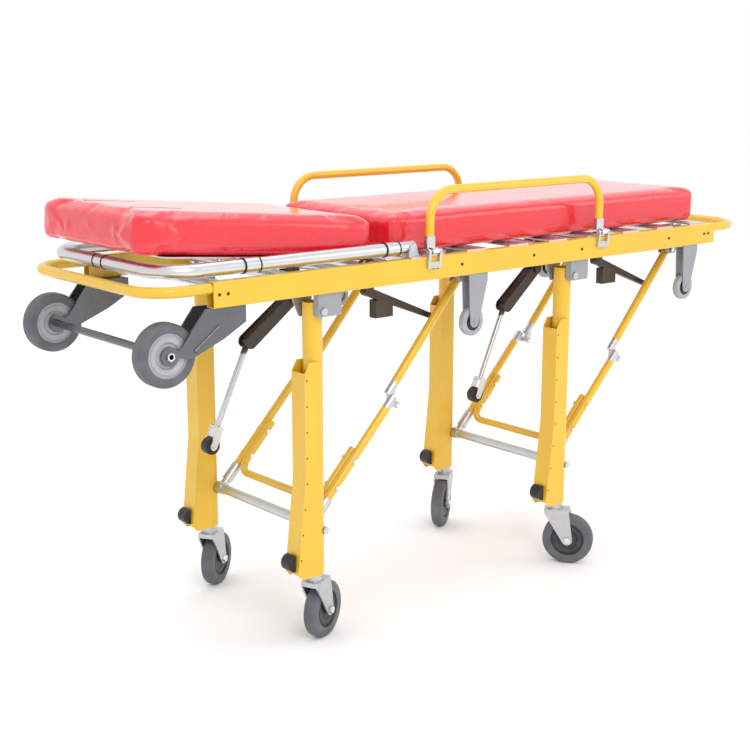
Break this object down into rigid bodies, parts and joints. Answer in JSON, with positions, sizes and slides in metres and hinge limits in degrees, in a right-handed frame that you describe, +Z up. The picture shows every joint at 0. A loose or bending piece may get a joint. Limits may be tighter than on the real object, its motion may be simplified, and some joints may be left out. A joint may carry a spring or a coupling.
{
  "type": "stretcher trolley",
  "caption": "Ambulance stretcher trolley with folding braced legs, swivel casters, loading wheels, tilting backrest and drop-down safety rails.",
  "frame": {"origin": "on the floor, midway between the ends of the side rails and between the two rails", "axes": "+X toward the foot end, +Y toward the patient's left, +Z up"},
  "size_m": [1.87, 0.5503, 0.9645],
  "materials": {
    "yellow": "gloss powder coat",
    "vinyl": "glossy wipe-clean vinyl",
    "tyre": "satin",
    "rubber": "satin",
    "cast": "satin",
    "gunmetal": "satin",
    "aluminium": "satin",
    "silver": "satin",
    "bronze": "satin",
    "grey": "satin"
  },
  "bodies": {
    "frame": {"aux_wheel_forks": "grey", "brace_brackets": "grey", "cross_members": "grey", "deck_slats": "grey", "foot_handle": "yellow", "head_handle": "yellow", "leg_pivot_boxes": "grey", "leg_pivot_plates": "grey", "link_brackets": "bronze", "loading_forks": "gunmetal", "main_mattress": "vinyl", "rail_fittings": "grey", "side_rail_left": "yellow", "side_rail_right": "yellow"},
    "backrest": {"backrest_tube": "silver", "backrest_collars": "rubber", "backrest_panel": "grey", "back_mattress": "vinyl"},
    "safety_rail_right": {"safety_rail_right": "yellow", "safety_rail_sockets_right": "cast"},
    "safety_rail_left": {"safety_rail_left": "yellow", "safety_rail_sockets_left": "cast"},
    "head_leg_frame": {"head_legs": "yellow", "head_leg_covers": "yellow", "head_leg_bumpers": "rubber", "head_cross_tube": "aluminium"},
    "head_lower_brace": {"head_lower_links": "yellow", "head_lower_fittings": "aluminium", "head_u_tube": "yellow"},
    "head_upper_brace": {"head_upper_links": "yellow", "head_upper_knuckles": "aluminium"},
    "head_release": {"head_release_link": "bronze"},
    "head_trigger": {"head_trigger_arm": "bronze"},
    "head_roller": {"head_trigger_roller": "rubber"},
    "head_right_swivel": {"head_right_caster_fork": "cast"},
    "head_right_wheel": {"head_right_caster_wheel": "tyre"},
    "head_left_swivel": {"head_left_caster_fork": "cast"},
    "head_left_wheel": {"head_left_caster_wheel": "tyre"},
    "foot_leg_frame": {"foot_legs": "yellow", "foot_leg_covers": "yellow", "foot_leg_bumpers": "rubber", "foot_cross_tube": "aluminium"},
    "foot_lower_brace": {"foot_lower_links": "yellow", "foot_lower_fittings": "aluminium", "foot_u_tube": "yellow"},
    "foot_upper_brace": {"foot_upper_links": "yellow", "foot_upper_knuckles": "aluminium"},
    "foot_release": {"foot_release_link": "bronze"},
    "foot_trigger": {"foot_trigger_arm": "bronze"},
    "foot_roller": {"foot_trigger_roller": "rubber"},
    "foot_right_swivel": {"foot_right_caster_fork": "cast"},
    "foot_right_wheel": {"foot_right_caster_wheel": "tyre"},
    "foot_left_swivel": {"foot_left_caster_fork": "cast"},
    "foot_left_wheel": {"foot_left_caster_wheel": "tyre"},
    "loading_right": {"loading_wheel_right": "tyre"},
    "aux_middle_right": {"aux_wheel_middle_right": "tyre"},
    "aux_foot_right": {"aux_wheel_foot_right": "tyre"},
    "loading_left": {"loading_wheel_left": "tyre"},
    "aux_middle_left": {"aux_wheel_middle_left": "tyre"},
    "aux_foot_left": {"aux_wheel_foot_left": "tyre"}
  },
  "joints": [
    {"name": "backrest_tilt", "type": "hinge", "parent": "frame", "child": "backrest", "pos_m": [-0.262, 0, 0.836], "axis": [0, 1, 0], "range_deg": [0, 70]},
    {"name": "safety_rail_right_drop", "type": "hinge", "parent": "frame", "child": "safety_rail_right", "pos_m": [0.057, -0.257, 0.828], "axis": [1, 0, 0], "range_deg": [0, 170]},
    {"name": "safety_rail_left_drop", "type": "hinge", "parent": "frame", "child": "safety_rail_left", "pos_m": [0.057, 0.257, 0.828], "axis": [-1, 0, 0], "range_deg": [0, 170]},
    {"name": "head_leg_fold", "type": "hinge", "parent": "frame", "child": "head_leg_frame", "pos_m": [-0.506, 0, 0.727], "axis": [0, -1, 0], "range_deg": [0, 84]},
    {"name": "head_lower_brace_fold", "type": "hinge", "parent": "head_leg_frame", "child": "head_lower_brace", "pos_m": [-0.491, 0, 0.252], "axis": [0, -1, 0], "range_deg": [0, 39.5]},
    {"name": "head_upper_brace_fold", "type": "hinge", "parent": "frame", "child": "head_upper_brace", "pos_m": [-0.041, 0, 0.743], "axis": [0, -1, 0], "range_deg": [-50.6, 0]},
    {"name": "head_release_turn", "type": "hinge", "parent": "frame", "child": "head_release", "pos_m": [-0.296, -0.126, 0.732], "axis": [0, -1, 0], "range_deg": [0, 20.1]},
    {"name": "head_trigger_swing", "type": "hinge", "parent": "frame", "child": "head_trigger", "pos_m": [-0.39, 0.03, 0.708], "axis": [0, -1, 0], "range_deg": [0, 115]},
    {"name": "head_roller_spin", "type": "hinge", "parent": "head_trigger", "child": "head_roller", "pos_m": [-0.61, 0.03, 0.406], "axis": [0, 1, 0], "continuous": true},
    {"name": "head_right_swivel_turn", "type": "hinge", "parent": "head_leg_frame", "child": "head_right_swivel", "pos_m": [-0.506, -0.202, 0.14], "axis": [0, 0, 1], "continuous": true},
    {"name": "head_right_wheel_spin", "type": "hinge", "parent": "head_right_swivel", "child": "head_right_wheel", "pos_m": [-0.4747, -0.18872, 0.0625], "axis": [-0.3907, 0.9205, 0], "continuous": true},
    {"name": "head_left_swivel_turn", "type": "hinge", "parent": "head_leg_frame", "child": "head_left_swivel", "pos_m": [-0.506, 0.202, 0.14], "axis": [0, 0, 1], "continuous": true},
    {"name": "head_left_wheel_spin", "type": "hinge", "parent": "head_left_swivel", "child": "head_left_wheel", "pos_m": [-0.47749, 0.22052, 0.0625], "axis": [-0.5446, 0.8387, 0], "continuous": true},
    {"name": "foot_leg_fold", "type": "hinge", "parent": "frame", "child": "foot_leg_frame", "pos_m": [0.252, 0, 0.727], "axis": [0, -1, 0], "range_deg": [0, 84]},
    {"name": "foot_lower_brace_fold", "type": "hinge", "parent": "foot_leg_frame", "child": "foot_lower_brace", "pos_m": [0.267, 0, 0.252], "axis": [0, -1, 0], "range_deg": [0, 39.5]},
    {"name": "foot_upper_brace_fold", "type": "hinge", "parent": "frame", "child": "foot_upper_brace", "pos_m": [0.717, 0, 0.743], "axis": [0, -1, 0], "range_deg": [-50.6, 0]},
    {"name": "foot_release_turn", "type": "hinge", "parent": "frame", "child": "foot_release", "pos_m": [0.462, -0.126, 0.732], "axis": [0, -1, 0], "range_deg": [0, 20.1]},
    {"name": "foot_trigger_swing", "type": "hinge", "parent": "frame", "child": "foot_trigger", "pos_m": [0.365, 0, 0.708], "axis": [0, -1, 0], "range_deg": [0, 115]},
    {"name": "foot_roller_spin", "type": "hinge", "parent": "foot_trigger", "child": "foot_roller", "pos_m": [0.164, 0, 0.406], "axis": [0, 1, 0], "continuous": true},
    {"name": "foot_right_swivel_turn", "type": "hinge", "parent": "foot_leg_frame", "child": "foot_right_swivel", "pos_m": [0.252, -0.202, 0.14], "axis": [0, 0, 1], "continuous": true},
    {"name": "foot_right_wheel_spin", "type": "hinge", "parent": "foot_right_swivel", "child": "foot_right_wheel", "pos_m": [0.27198, -0.22951, 0.0625], "axis": [0.809, 0.5878, 0], "continuous": true},
    {"name": "foot_left_swivel_turn", "type": "hinge", "parent": "foot_leg_frame", "child": "foot_left_swivel", "pos_m": [0.252, 0.202, 0.14], "axis": [0, 0, 1], "continuous": true},
    {"name": "foot_left_wheel_spin", "type": "hinge", "parent": "foot_left_swivel", "child": "foot_left_wheel", "pos_m": [0.22381, 0.18299, 0.0625], "axis": [0.5592, -0.829, 0], "continuous": true},
    {"name": "loading_right_spin", "type": "hinge", "parent": "frame", "child": "loading_right", "pos_m": [-0.8725, -0.222, 0.684], "axis": [0, 1, 0], "continuous": true},
    {"name": "aux_middle_right_spin", "type": "hinge", "parent": "frame", "child": "aux_middle_right", "pos_m": [-0.088, -0.2395, 0.658], "axis": [0, 1, 0], "continuous": true},
    {"name": "aux_foot_right_spin", "type": "hinge", "parent": "frame", "child": "aux_foot_right", "pos_m": [0.672, -0.2395, 0.658], "axis": [0, 1, 0], "continuous": true},
    {"name": "loading_left_spin", "type": "hinge", "parent": "frame", "child": "loading_left", "pos_m": [-0.8725, 0.222, 0.684], "axis": [0, 1, 0], "continuous": true},
    {"name": "aux_middle_left_spin", "type": "hinge", "parent": "frame", "child": "aux_middle_left", "pos_m": [-0.088, 0.2395, 0.658], "axis": [0, 1, 0], "continuous": true},
    {"name": "aux_foot_left_spin", "type": "hinge", "parent": "frame", "child": "aux_foot_left", "pos_m": [0.672, 0.2395, 0.658], "axis": [0, 1, 0], "continuous": true}
  ],
  "couplings": [
    {"joint": "head_lower_brace_fold", "follows": "head_leg_fold", "ratio": 0.46953},
    {"joint": "head_upper_brace_fold", "follows": "head_leg_fold", "ratio": -0.60065},
    {"joint": "head_release_turn", "follows": "head_leg_fold", "ratio": 0.2381},
    {"joint": "foot_lower_brace_fold", "follows": "foot_leg_fold", "ratio": 0.46953},
    {"joint": "foot_upper_brace_fold", "follows": "foot_leg_fold", "ratio": -0.60065},
    {"joint": "foot_release_turn", "follows": "foot_leg_fold", "ratio": 0.2381}
  ]
}
